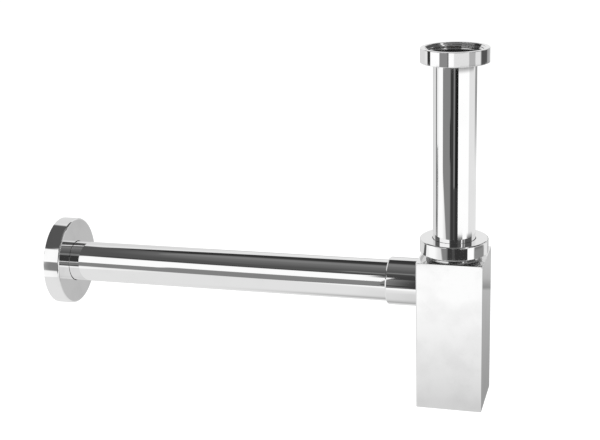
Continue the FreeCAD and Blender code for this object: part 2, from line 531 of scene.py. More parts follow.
PIPE_THREAD = ScrewForm(pitch=2.309, minor_radius=19.476, major_radius=20.955)
UNION_THREAD = ScrewForm(pitch=2.309, minor_radius=20.15, major_radius=20.95)
PLUG_THREAD = ScrewForm(pitch=1.5, minor_radius=16.98, major_radius=17.9)


def rounded(corner: Corner, back: Vector, ahead: Vector, steps: int) -> list[Vector]:
    """The arc that rounds one corner of an outline.

    Args:
        corner: The corner.
        back: The way to the corner before it.
        ahead: The way to the corner after it.
        steps: Edges in the arc.

    Returns:
        The arc's points, from the side of the corner before.
    """
    half_angle = back.angle(ahead) / 2
    reach = corner.rounding / math.tan(half_angle)
    middle = (back.normalized() + ahead.normalized()).normalized()
    centre = corner.place + middle * (corner.rounding / math.sin(half_angle))
    first = corner.place + back.normalized() * reach - centre
    last = corner.place + ahead.normalized() * reach - centre
    sweep = first.angle_signed(last)
    arc = []
    for step in range(steps + 1):
        arm = first.copy()
        arm.rotate(Matrix.Rotation(-sweep * step / steps, 2))
        arc.append(centre + arm)
    return arc


def outline_points(
    corners: Sequence[Corner], arc_steps: int = 7, row: float = 0.14
) -> np.ndarray:
    """Spreads points along a closed outline.

    Args:
        corners: The corners in order, anticlockwise with the axis on the left.
        arc_steps: Edges in each rounded corner.
        row: Distance between points where the wall is threaded.

    Returns:
        One row for each point: radius, height, and whether it is threaded, bare or greasy.
    """
    points: list[tuple[float, ...]] = []
    for i, corner in enumerate(corners):
        before, after = corners[i - 1], corners[(i + 1) % len(corners)]
        back, ahead = before.place - corner.place, after.place - corner.place
        if corner.rounding:
            stretch = rounded(corner, back, ahead, arc_steps)
        else:
            stretch = [corner.place]
        if corner.threaded and after.threaded:
            rows = max(1, round(ahead.length / row))
            stretch += [corner.place + ahead * (step / rows) for step in range(1, rows)]
        points += [(*point, *corner.marks) for point in stretch]
    return np.array(points)


def ring_section(
    inner: float, outer: float, low: float, high: float, rounding: float, bare_bore: bool = False
) -> list[Corner]:
    """The outline of a plain ring or pipe.

    Args:
        inner: Radius of its bore.
        outer: Radius of its outside.
        low: Where it starts on its axis.
        high: Where it ends.
        rounding: Radius of its four edges.
        bare_bore: Whether its bore is bare brass.

    Returns:
        Its four corners.
    """
    return [
        Corner(inner, low, rounding, bare=bare_bore),
        Corner(outer, low, rounding),
        Corner(outer, high, rounding),
        Corner(inner, high, rounding, bare=bare_bore),
    ]


def linked(name: str, data: bpy.types.ID) -> bpy.types.Object:
    """Puts a mesh, a lamp or a camera in the scene.

    Args:
        name: The new object's name.
        data: What it shows.

    Returns:
        The new object.
    """
    item = bpy.data.objects.new(name, data)
    bpy.context.scene.collection.objects.link(item)
    return item


def evaluated(source: bpy.types.Object) -> bpy.types.Mesh:
    """Turns an object with live modifiers into a plain mesh, and removes the object.

    Args:
        source: The object to evaluate.

    Returns:
        The plain mesh.
    """
    graph = bpy.context.evaluated_depsgraph_get()
    made = bpy.data.meshes.new_from_object(source.evaluated_get(graph))
    bpy.data.objects.remove(source)
    return made


class Lathe:
    """Geometry Nodes tree that turns an outline about Z and cuts a screw thread into it."""

    SEGMENTS = 224
    WELD = 1e-6
    MARKS = ("machined", "bare", "painted_shade")
    INPUTS = {
        "Outline": "NodeSocketGeometry",
        "Segments": "NodeSocketInt",
        "Points": "NodeSocketInt",
        "Pitch": "NodeSocketFloat",
        "Minor radius": "NodeSocketFloat",
        "Major radius": "NodeSocketFloat",
        "Thread inside": "NodeSocketFloat",
        "Material": "NodeSocketMaterial",
    }

    def __init__(self) -> None:
        """Builds the tree once, for every turned piece."""
        self.tree = bpy.data.node_groups.new("turned piece", "GeometryNodeTree")
        sides = self.tree.interface
        self.inputs = {
            name: sides.new_socket(name, in_out="INPUT", socket_type=kind).identifier
            for name, kind in self.INPUTS.items()
        }
        sides.new_socket("Piece", in_out="OUTPUT", socket_type="NodeSocketGeometry")
        self.fill()

    def fill(self) -> None:
        """Adds the nodes: a grid that is wrapped round the axis, row by row on the outline."""
        graph = Graph(self.tree)
        sockets = graph.node("NodeGroupInput").outputs
        given = {name: Value(graph, sockets[name]) for name in self.INPUTS}
        points = given["Points"]
        size = {"Size X": 1.0, "Size Y": 1.0}
        size |= {"Vertices X": given["Segments"] + 1, "Vertices Y": points + 1}
        grid = graph.value("GeometryNodeMeshGrid", None, size, output="Mesh")
        index = graph.value("GeometryNodeInputIndex")
        column = graph.maths("FLOOR", (index + 0.5) / (points + 1))
        turn = column / given["Segments"] * math.tau
        row = graph.maths("MODULO", index - column * (points + 1), points)
        place = graph.value("GeometryNodeInputPosition")
        spot = self.sample(graph, given["Outline"], "FLOAT_VECTOR", place, row)
        radius, _, height = graph.parts(spot)
        marks = {
            name: self.sample(graph, given["Outline"], "FLOAT", self.held(graph, name), row)
            for name in self.MARKS
        }
        phase = height / given["Pitch"] - turn / math.tau
        wave = 0.5 - 0.5 * graph.maths("COSINE", phase * math.tau)
        flank = given["Minor radius"] + (given["Major radius"] - given["Minor radius"]) * wave
        inside = given["Thread inside"]
        cut = inside * graph.maths("MAXIMUM", radius, flank)
        cut = cut + (1 - inside) * graph.maths("MINIMUM", radius, flank)
        radius = radius + marks["machined"] * (cut - radius)
        x = radius * graph.maths("COSINE", turn)
        y = radius * graph.maths("SINE", turn)
        wrap = {"Geometry": grid, "Position": graph.vector(x, y, height)}
        body = graph.value("GeometryNodeSetPosition", None, wrap)
        for name, mark in marks.items():
            store = {"Geometry": body, "Name": name, "Value": mark}
            settings = {"data_type": "FLOAT", "domain": "POINT"}
            body = graph.value("GeometryNodeStoreNamedAttribute", settings, store)
        weld = {"Geometry": body, "Distance": self.WELD}
        body = graph.value("GeometryNodeMergeByDistance", None, weld)
        body = graph.value("GeometryNodeSetShadeSmooth", None, {"Geometry": body})
        body = graph.value("GeometryNodeRealizeInstances", None, {"Geometry": body})
        dress = {"Geometry": body, "Material": given["Material"]}
        body = graph.value("GeometryNodeSetMaterial", None, dress)
        graph.node("NodeGroupOutput", None, {0: body})

    @staticmethod
    def held(graph: Graph, name: str) -> Value:
        """A number that each point of the outline holds under a name."""
        settings = {"data_type": "FLOAT"}
        return graph.value("GeometryNodeInputNamedAttribute", settings, {"Name": name})

    @staticmethod
    def sample(graph: Graph, outline: Value, kind: str, what: Value, row: Value) -> Value:
        """What the outline holds at one of its points.

        Args:
            graph: The tree's graph.
            outline: The outline's geometry.
            kind: Data type of what is read.
            what: The position or the number to read.
            row: The point's index.

        Returns:
            What was read there.
        """
        settings = {"data_type": kind, "domain": "POINT"}
        sockets = {"Geometry": outline, "Value": what, "Index": row}
        return graph.value("GeometryNodeSampleIndex", settings, sockets)

    def turn(
        self,
        name: str,
        corners: Sequence[Corner],
        material: bpy.types.Material,
        thread: Thread = Thread.NONE,
        form: ScrewForm = PIPE_THREAD,
    ) -> bpy.types.Mesh:
        """Turns one piece about Z.

        Args:
            name: The mesh's name.
            corners: The piece's outline.
            material: Its finish.
            thread: Where the threaded stretch of the outline lies.
            form: The thread that is cut there.

        Returns:
            The finished mesh, in metres.
        """
        points = outline_points(corners)
        count = len(points)
        mesh = bpy.data.meshes.new(name + " outline")
        places = [(radius * MM, 0.0, height * MM) for radius, height in points[:, :2]]
        mesh.from_pydata(places, [(i, (i + 1) % count) for i in range(count)], [])
        for column, mark in enumerate(self.MARKS, start=2):
            layer = mesh.attributes.new(mark, "FLOAT", "POINT")
            layer.data.foreach_set("value", points[:, column].astype(np.float32))
        source = linked(name, mesh)
        modifier = source.modifiers.new("turned", "NODES")
        modifier.node_group = self.tree
        settings = {
            "Segments": self.SEGMENTS,
            "Points": count,
            "Pitch": form.pitch * MM,
            "Minor radius": form.minor_radius * MM,
            "Major radius": form.major_radius * MM,
            "Thread inside": float(thread is Thread.INSIDE),
            "Material": material,
        }
        for label, setting in settings.items():
            modifier[self.inputs[label]] = setting
        made = evaluated(source)
        made.name = name
        if made.materials[0] is None:
            made.materials.pop(index=0)
        return made


Loop = list[tuple[float, float, float]]


def stacked(name: str, loops: Sequence[Loop]) -> bpy.types.Mesh:
    """Closes a stack of level loops into a solid with one flat face at each end.

    Args:
        name: The mesh's name.
        loops: Loops of equal length from the lowest up, anticlockwise seen from above.

    Returns:
        The closed mesh.
    """
    count = len(loops[0])
    last = (len(loops) - 1) * count
    faces = [list(range(count))[::-1], [last + i for i in range(count)]]
    for row in range(len(loops) - 1):
        for i in range(count):
            low, after = row * count + i, row * count + (i + 1) % count
            faces.append([low, after, after + count, low + count])
    mesh = bpy.data.meshes.new(name)
    mesh.from_pydata([point for loop in loops for point in loop], [], faces)
    return mesh


def round_tool(name: str, rings: Sequence[tuple[float, float]]) -> bpy.types.Mesh:
    """A solid of revolution about Z, for cutting and joining.

    Args:
        name: The mesh's name.
        rings: Radius and height of each ring in millimetres, from the lowest up.

    Returns:
        The closed mesh, whose points stand between those of a turned piece.
    """
    angles = [math.tau * (i + 0.5) / Lathe.SEGMENTS for i in range(Lathe.SEGMENTS)]
    return stacked(name, [
        [(radius * MM * math.cos(a), radius * MM * math.sin(a), height * MM) for a in angles]
        for radius, height in rings
    ])


def combined(base: bpy.types.Mesh, tool: bpy.types.Mesh, work: Work) -> bpy.types.Mesh:
    """Joins a tool's solid to a base, or cuts it out.

    Args:
        base: The mesh that stays.
        tool: The mesh that is added or taken away.
        work: Which of the two is done.

    Returns:
        The resulting closed mesh.
    """
    keeper = linked(base.name, base)
    cutter = linked(tool.name, tool)
    modifier = keeper.modifiers.new("solid", "BOOLEAN")
    modifier.operation = work.value
    modifier.solver = "EXACT"
    modifier.object = cutter
    made = evaluated(keeper)
    bpy.data.objects.remove(cutter)
    return made


def crisp(mesh: bpy.types.Mesh, sharp_angle: float = 40.0, weight: int = 90) -> bpy.types.Mesh:
    """Shades a mesh so that flat faces stay flat and narrow roundings carry the turn.

    Args:
        mesh: The mesh to shade.
        sharp_angle: Edges that turn by more than this, in degrees, stay sharp.
        weight: How much more a larger face counts at a shared edge, from 1 to 100.

    Returns:
        A mesh whose normals follow the larger faces.
    """
    mesh.shade_smooth()
    mesh.set_sharp_from_angle(angle=math.radians(sharp_angle))
    holder = linked(mesh.name, mesh)
    modifier = holder.modifiers.new("normals", "WEIGHTED_NORMAL")
    modifier.keep_sharp = True
    modifier.weight = weight
    return evaluated(holder)


@dataclass(frozen=True)
class Extent:
    """Reach of a CAD node, in millimetres."""

    low: Vector
    high: Vector

    @classmethod
    def of(cls, node: str) -> "Extent":
        """Reads a node's box from the frame."""
        low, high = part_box(node)
        return cls(low / MM, high / MM)

    @property
    def across(self) -> float:
        """Half of the box's depth, which is a turned piece's outer radius."""
        return (self.high.y - self.low.y) / 2

    @property
    def middle_height(self) -> float:
        """Height half-way up, which is the axis of a piece on the outlet."""
        return (self.low.z + self.high.z) / 2

    @property
    def towards_wall(self) -> tuple[float, float]:
        """Start and end on the way from the inlet axis to the wall."""
        return -self.high.x, -self.low.x


class Finishes:
    """Every coat that the trap's pieces wear, built once."""

    def __init__(self, axis_height: float) -> None:
        """Builds the coats.

        Args:
            axis_height: Height of the outlet's axis, which its polishing lines follow.
        """
        outlet = {"axis": Axis.OUTLET, "outlet_height": axis_height}
        body = {"lay": Lay.FLAT, "gloss_roughness": 0.03, "smear_depth": 0.06}
        self.turned = Chrome("turned chrome").build()
        self.drawn = Chrome("drawn tube chrome", lay=Lay.ALONG).build()
        self.cast = Chrome("polished body chrome", **body).build()
        self.turned_outlet = Chrome("turned outlet chrome", smear_depth=0.05, **outlet).build()
        self.drawn_outlet = Chrome("drawn outlet chrome", lay=Lay.ALONG, **outlet).build()
        self.rubber = Rubber("black rubber").build()
        self.plastic = SlipPlastic("milky plastic").build()


@dataclass
class SubAssembly:
    """What every sub-assembly has: the lathe, the finishes, and the sizes that several share."""

    axis: ClassVar[Axis] = Axis.INLET
    lathe: Lathe
    finishes: Finishes
    axis_height: float
    tube_radius: float = 16.0
    hole_radius: float = 16.4
    grip_groove_radius: float = 17.42

    def build(self) -> None:
        """Makes the pieces, which each sub-assembly does for itself."""
        raise NotImplementedError(type(self).__name__)

    def laid(self, mesh: bpy.types.Mesh) -> bpy.types.Mesh:
        """Lays a mesh that was turned about Z along the outlet, towards -X.

        Args:
            mesh: The mesh, whose points are moved.

        Returns:
            The same mesh.
        """
        height = self.axis_height * MM
        mesh.transform(Matrix(((0, 0, -1, 0), (0, 1, 0, 0), (1, 0, 0, height), (0, 0, 0, 1))))
        return mesh

    def add(self, node: str, mesh: bpy.types.Mesh, coat: Coat, body: str | None = None) -> None:
        """Finishes a mesh and puts it in the scene in place of a CAD node.

        Args:
            node: The CAD node that it stands for.
            mesh: The mesh, which is still upright where the sub-assembly is on the outlet.
            coat: Its finish.
            body: The body that it moves with, where that isn't named like the node.
        """
        if self.axis is Axis.OUTLET:
            mesh = self.laid(mesh)
        mesh.materials.clear()
        mesh.materials.append(coat.material)
        piece = linked(f"finished_{node}", crisp(mesh))
        body = body or node
        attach(piece, body)
        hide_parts(node)
        log.info("%s: %d faces, moves with %s", piece.name, len(piece.data.polygons), body)

    def add_turned(
        self,
        node: str,
        corners: Sequence[Corner],
        coat: Coat,
        thread: Thread = Thread.NONE,
        form: ScrewForm = PIPE_THREAD,
        body: str | None = None,
    ) -> None:
        """Turns a piece and puts it in the scene in place of a CAD node.

        Args:
            node: The CAD node that it stands for.
            corners: Its outline.
            coat: Its finish.
            thread: Where the threaded stretch of the outline lies.
            form: The thread that is cut there.
            body: The body that it moves with, where that isn't named like the node.
        """
        mesh = self.lathe.turn(node.replace("_", " "), corners, coat.material, thread, form)
        self.add(node, mesh, coat, body)


@dataclass
class InletUnion(SubAssembly):
    """Union nut with its thread open above the washer, the washer, and the inlet tube."""

    bore_radius: float = 15.0
    nut_edge: float = 0.3
    hole_edge: float = 0.12
    mouth_radius: float = 21.95
    mouth_depth: float = 0.45
    mouth_slope: float = 0.95
    thread_bottom: float = 0.35
    groove_radius: float = 21.1
    groove_top: float = 0.0
    washer_edge: float = 0.2
    washer_lift: float = 0.01
    flange_thickness: float = 1.2
    flange_edge: float = 0.15
    tube_edge: float = 0.2
    bore_edge: float = 0.3

    def make_nut(self) -> None:
        """Turns the union nut."""
        nut = Extent.of("inlet_nut")
        seat = Extent.of("inlet_tube").high.z - self.flange_thickness
        root = UNION_THREAD.minor_radius
        mouth = nut.high.z - self.mouth_depth
        first_crest = mouth - (self.mouth_radius - root) * self.mouth_slope
        corners = [
            Corner(self.hole_radius, nut.low.z, self.hole_edge),
            Corner(nut.across, nut.low.z, self.nut_edge),
            Corner(nut.across, nut.high.z, self.nut_edge),
            Corner(self.mouth_radius, nut.high.z, self.nut_edge),
            Corner(self.mouth_radius, mouth, threaded=True),
            Corner(root, first_crest, threaded=True),
            Corner(root, self.thread_bottom, threaded=True),
            Corner(self.groove_radius, self.groove_top),
            Corner(self.groove_radius, seat),
            Corner(self.hole_radius, seat),
        ]
        chrome = self.finishes.turned
        self.add_turned("inlet_nut", corners, chrome, Thread.INSIDE, UNION_THREAD)

    def make_washer(self) -> None:
        """Turns the flat rubber washer."""
        washer = Extent.of("inlet_washer")
        low, high = washer.low.z + self.washer_lift, washer.high.z
        corners = ring_section(self.bore_radius, washer.across, low, high, self.washer_edge)
        self.add_turned("inlet_washer", corners, self.finishes.rubber)

    def make_tube(self) -> None:
        """Turns the inlet tube, which is bare brass inside."""
        tube = Extent.of("inlet_tube")
        flange_bottom = tube.high.z - self.flange_thickness
        corners = [
            Corner(self.bore_radius, tube.low.z, self.tube_edge, bare=True),
            Corner(self.tube_radius, tube.low.z, self.tube_edge),
            Corner(self.tube_radius, flange_bottom, self.tube_edge),
            Corner(tube.across, flange_bottom, self.flange_edge),
            Corner(tube.across, tube.high.z, self.flange_edge),
            Corner(self.bore_radius, tube.high.z, self.bore_edge, bare=True),
        ]
        self.add_turned("inlet_tube", corners, self.finishes.drawn)

    def build(self) -> None:
        """Makes the three pieces."""
        self.make_nut()
        self.make_washer()
        self.make_tube()


@dataclass
class NeckJoint(SubAssembly):
    """Collar nut, slip ring and cone seal round the tube on the body's neck."""

    top_edge: float = 1.0
    foot_edge: float = 0.4
    hole_edge: float = 0.12
    mouth_edge: float = 0.1
    lip: float = 2.6
    groove_radius: float = 21.05
    thread_clearance: float = 0.08
    thread_top_gap: float = 0.4
    ring_play: float = 0.2
    ring_edge: float = 0.1
    seal_inner: float = 16.05
    seal_tip: float = 5.2
    tip_radius: float = 16.73
    seal_edge: float = 0.15
    shoulder_edge: float = 0.2

    def make_collar(self) -> None:
        """Turns the collar nut, threaded inside."""
        collar = Extent.of("collar_nut")
        ring = Extent.of("slip_ring")
        form = PIPE_THREAD.freed(self.thread_clearance)
        root = form.minor_radius
        lead = self.groove_radius - root
        bottom, top = collar.low.z, collar.high.z
        mouth_radius, mouth = self.groove_radius - self.mouth_edge, bottom + self.mouth_edge
        corners = [
            Corner(self.groove_radius, bottom, self.mouth_edge),
            Corner(collar.across, bottom, self.foot_edge),
            Corner(collar.across, top, self.top_edge),
            Corner(self.hole_radius, top, self.hole_edge),
            Corner(self.hole_radius, top - self.lip),
            Corner(self.groove_radius, top - self.lip),
            # painted shade: the collar's inside below the slip ring is darkened for the shade under
            # the nut
            Corner(self.groove_radius, ring.low.z, painted_shade=True),
            Corner(root, ring.low.z - self.thread_top_gap, threaded=True, painted_shade=True),
            Corner(root, bottom + lead, threaded=True, painted_shade=True),
            Corner(mouth_radius, mouth, threaded=True, painted_shade=True),
        ]
        self.add_turned("collar_nut", corners, self.finishes.turned, Thread.INSIDE, form)

    def make_slip_ring(self) -> None:
        """Turns the slip ring."""
        ring = Extent.of("slip_ring")
        inner = self.hole_radius - self.ring_play
        corners = ring_section(inner, ring.across, ring.low.z, ring.high.z, self.ring_edge)
        self.add_turned("slip_ring", corners, self.finishes.plastic)

    def make_seal(self) -> None:
        """Turns the cone seal."""
        seal = Extent.of("cone_seal")
        shoulder = seal.low.z + self.seal_tip
        corners = [
            Corner(self.seal_inner, seal.low.z, self.seal_edge),
            Corner(self.tip_radius, seal.low.z, self.seal_edge),
            Corner(seal.across, shoulder, self.shoulder_edge),
            Corner(seal.across, seal.high.z, self.seal_edge),
            Corner(self.seal_inner, seal.high.z, self.seal_edge),
        ]
        self.add_turned("cone_seal", corners, self.finishes.rubber)

    def build(self) -> None:
        """Makes the three pieces."""
        self.make_collar()
        self.make_slip_ring()
        self.make_seal()


@dataclass
class SquareBody(SubAssembly):
    """Square casting with its threaded neck, hollow inside, open to the outlet and the plug."""

    corner_radius: float = 1.0
    edge_radius: float = 0.15
    wall: float = 2.5
    roof: float = 3.0
    floor: float = 8.0
    cavity_corner_radius: float = 3.5
    neck_height: float = 8.6
    neck_bore_radius: float = 16.5
    cone_mouth_radius: float = 18.4
    cone_depth: float = 6.0
    neck_groove: float = 1.0
    neck_rim: float = 0.3
    thread_run_out: float = 0.5
    thread_chamfer: float = 1.1
    thread_clearance: float = -0.03
    pad_radius: float = 21.5
    pad_thickness: float = 3.5
    outlet_bore_radius: float = 16.05
    plug_bore_radius: float = 18.0
    plug_seat_radius: float = 21.5
    plug_seat_depth: float = 3.5
    arc_steps: int = 6
    overshoot: float = 1.0

    def ring_loop(self, half: float, rounding: float, height: float) -> Loop:
        """One level of a square bar with rounded corners.

        Args:
            half: Half of its width.
            rounding: Radius of its corners.
            height: Its height.

        Returns:
            The level's points, in metres.
        """
        loop = []
        for side_x, side_y, quarter in ((1, 1, 0), (-1, 1, 1), (-1, -1, 2), (1, -1, 3)):
            for step in range(self.arc_steps + 1):
                angle = math.pi / 2 * (quarter + step / self.arc_steps)
                x = side_x * (half - rounding) + rounding * math.cos(angle)
                y = side_y * (half - rounding) + rounding * math.sin(angle)
                loop.append((x * MM, y * MM, height * MM))
        return loop

    def bar(
        self, name: str, half: float, low: float, high: float, corner: float, edge: float = 0.0
    ) -> bpy.types.Mesh:
        """A closed square bar with rounded upright corners and rounded rims.

        Args:
            name: The mesh's name.
            half: Half of its width.
            low: Height of its bottom.
            high: Height of its top.
            corner: Radius of its upright corners.
            edge: Radius of its two rims, or 0 for sharp ones.

        Returns:
            The mesh, with flat polygons on its six sides.
        """
        steps = self.arc_steps if edge else 0
        rise = [math.pi / 2 * step / self.arc_steps for step in range(steps)] + [math.pi / 2]
        levels = []
        for end, upwards in ((low, 1), (high, -1)):
            rim = []
            for angle in rise:
                inset = edge * (1 - math.sin(angle))
                lift = edge * (1 - math.cos(angle))
                rim.append(self.ring_loop(half - inset, corner - inset, end + upwards * lift))
            levels += rim[::upwards]
        return stacked(name, levels)

    def neck(self, top: float) -> bpy.types.Mesh:
        """The neck as a solid threaded stub that starts inside the body's roof.

        Args:
            top: Height of the body's top.

        Returns:
            The closed mesh.
        """
        form = PIPE_THREAD.freed(self.thread_clearance)
        root, crest = form.minor_radius, form.major_radius
        start = top - self.roof / 2
        groove = top + self.neck_groove
        end = top + self.neck_height
        chamfer = self.thread_chamfer
        corners = [
            Corner(0, start),
            # painted shade: the neck is darkened for the shade in the gap under the collar nut
            Corner(root, start, painted_shade=True),
            Corner(root, groove, painted_shade=True),
            Corner(crest, groove + self.thread_run_out, threaded=True, painted_shade=True),
            Corner(crest, end - chamfer, threaded=True, painted_shade=True),
            Corner(crest - chamfer, end, threaded=True, painted_shade=True),
            Corner(self.cone_mouth_radius + self.neck_rim, end),
            Corner(0, end),
        ]
        chrome = self.finishes.cast.material
        return self.lathe.turn("neck", corners, chrome, Thread.OUTSIDE, form)

    def build(self) -> None:
        """Makes the body: a bar that is hollowed, given its pad and neck, and opened."""
        box = Extent.of("trap_body")
        half, bottom = box.across, box.low.z
        neck_top = box.high.z
        top = neck_top - self.neck_height
        ceiling, floor = top - self.roof, bottom + self.floor
        inner_half = half - self.wall
        pad_face = inner_half - self.pad_thickness
        seat = bottom + self.plug_seat_depth
        over = self.overshoot
        flare = (self.cone_mouth_radius - self.neck_bore_radius) / self.cone_depth
        cavity = self.bar("cavity", inner_half, floor, ceiling, self.cavity_corner_radius)
        pad = round_tool("pad", [
            (self.pad_radius, pad_face),
            (self.pad_radius, half - self.wall / 2),
        ])
        inlet = round_tool("inlet opening", [
            (self.neck_bore_radius, ceiling - over),
            (self.neck_bore_radius, neck_top - self.cone_depth),
            (self.cone_mouth_radius + flare * over, neck_top + over),
        ])
        outlet = round_tool("outlet opening", [
            (self.outlet_bore_radius, pad_face - over),
            (self.outlet_bore_radius, half + over),
        ])
        plug = round_tool("plug opening", [
            (self.plug_seat_radius, bottom - over),
            (self.plug_seat_radius, seat),
            (self.plug_bore_radius, seat),
            (self.plug_bore_radius, floor + over),
        ])
        mesh = self.bar("trap body", half, bottom, top, self.corner_radius, self.edge_radius)
        for tool, work in (
            (cavity, Work.CUT),
            (self.laid(pad), Work.JOIN),
            (self.neck(top), Work.JOIN),
            (inlet, Work.CUT),
            (self.laid(outlet), Work.CUT),
            (plug, Work.CUT),
        ):
            mesh = combined(mesh, tool, work)
        self.add("trap_body", mesh, self.finishes.cast)


@dataclass
class OutletSocket(SubAssembly):
    """Turned sleeve on the body's side, with its gasket and the rings that grip the pipe."""

    axis: ClassVar[Axis] = Axis.OUTLET
    spigot_bore_radius: float = 13.0
    bore_radius: float = 16.05
    recess_radius: float = 17.7
    gasket: float = 1.0
    depth: float = 22.0
    face_edge: float = 0.12
    mouth_chamfer: float = 1.1
    chamfer_edge: float = 0.3
    mouth_edge: float = 0.2
    lead_in: float = 0.5
    ring_places: tuple[float, float] = (5.0, 11.0)
    ring_width: float = 2.0
    groove_play: float = 0.2
    ring_play: float = 0.05
    ring_rounding: float = 0.65
    gasket_rounding: float = 0.1

    def make_socket(self) -> None:
        """Turns the sleeve, with its grooves."""
        sleeve = Extent.of("outlet_socket")
        start, mouth = sleeve.towards_wall
        face = Extent.of("socket_gasket").towards_wall[0]
        recess = face + self.gasket
        half_groove = self.ring_width / 2 + self.groove_play
        shoulder = mouth - self.depth
        corners = [
            Corner(self.spigot_bore_radius, start, bare=True),
            Corner(self.tube_radius, start),
            Corner(self.tube_radius, recess),
            Corner(self.recess_radius, recess),
            Corner(self.recess_radius, face),
            Corner(sleeve.across, face, self.face_edge),
            Corner(sleeve.across, mouth - self.mouth_chamfer, self.chamfer_edge),
            Corner(sleeve.across - self.mouth_chamfer, mouth, self.mouth_edge),
            Corner(self.bore_radius + self.lead_in, mouth),
            Corner(self.bore_radius, mouth - self.lead_in),
        ]
        for place in self.ring_places:
            outer, inner = mouth - place + half_groove, mouth - place - half_groove
            corners += [
                Corner(self.bore_radius, outer),
                Corner(self.grip_groove_radius, outer),
                Corner(self.grip_groove_radius, inner),
                Corner(self.bore_radius, inner),
            ]
        corners += [
            Corner(self.bore_radius, shoulder, bare=True),
            Corner(self.spigot_bore_radius, shoulder, bare=True),
        ]
        chrome = self.finishes.turned_outlet
        self.add_turned("outlet_socket", corners, chrome, body="trap_body")

    def make_ring(self, node: str, body: str, rounding: float) -> None:
        """Turns a rubber ring that fills its CAD node's box.

        Args:
            node: The CAD node.
            body: The body that it moves with.
            rounding: Radius of its edges.
        """
        ring = Extent.of(node)
        inner = self.tube_radius + self.ring_play
        corners = ring_section(inner, ring.across, *ring.towards_wall, rounding)
        self.add_turned(node, corners, self.finishes.rubber, body=body)

    def build(self) -> None:
        """Makes the sleeve, its gasket, its two rings and the flange's ring."""
        self.make_socket()
        self.make_ring("socket_gasket", "trap_body", self.gasket_rounding)
        self.make_ring("socket_ring_outer", "socket_rings", self.ring_rounding)
        self.make_ring("socket_ring_inner", "socket_rings", self.ring_rounding)
        self.make_ring("flange_ring", "flange_ring", self.ring_rounding)


@dataclass
class OutletPipe(SubAssembly):
    """Straight outlet pipe, bare brass inside."""

    axis: ClassVar[Axis] = Axis.OUTLET
    wall: float = 1.0
    edge: float = 0.2

    def build(self) -> None:
        """Makes the pipe."""
        pipe = Extent.of("outlet_pipe")
        bore = pipe.across - self.wall
        corners = ring_section(bore, pipe.across, *pipe.towards_wall, self.edge, bare_bore=True)
        self.add_turned("outlet_pipe", corners, self.finishes.drawn_outlet)


@dataclass
class WallFlange(SubAssembly):
    """Round cover cup at the wall, with a short hub behind its face."""

    axis: ClassVar[Axis] = Axis.OUTLET
    skin: float = 1.8
    face_edge: float = 1.4
    hole_edge: float = 0.15
    rim_edge: float = 0.2
    cup_corner: float = 0.8
    hub_wall: float = 2.9
    hub_length: float = 8.0
    hub_foot: float = 0.5
    hub_edge: float = 0.2
    groove_half: float = 1.2

    def build(self) -> None:
        """Makes the flange."""
        cup = Extent.of("wall_flange")
        face, back = cup.towards_wall
        hub = self.hole_radius + self.hub_wall
        hub_end = face + self.hub_length
        centre = sum(Extent.of("flange_ring").towards_wall) / 2
        outer, inner = centre + self.groove_half, centre - self.groove_half
        inside, floor = cup.across - self.skin, face + self.skin
        corners = [
            Corner(self.hole_radius, face, self.hole_edge),
            Corner(cup.across, face, self.face_edge),
            Corner(cup.across, back, self.rim_edge),
            Corner(inside, back, self.rim_edge, bare=True),
            Corner(inside, floor, self.cup_corner, bare=True),
            Corner(hub, floor, self.hub_foot, bare=True),
            Corner(hub, hub_end, self.hub_edge, bare=True),
            Corner(self.hole_radius, hub_end, bare=True),
            Corner(self.hole_radius, outer, bare=True),
            Corner(self.grip_groove_radius, outer, bare=True),
            Corner(self.grip_groove_radius, inner, bare=True),
            Corner(self.hole_radius, inner, bare=True),
        ]
        self.add_turned("wall_flange", corners, self.finishes.turned_outlet)


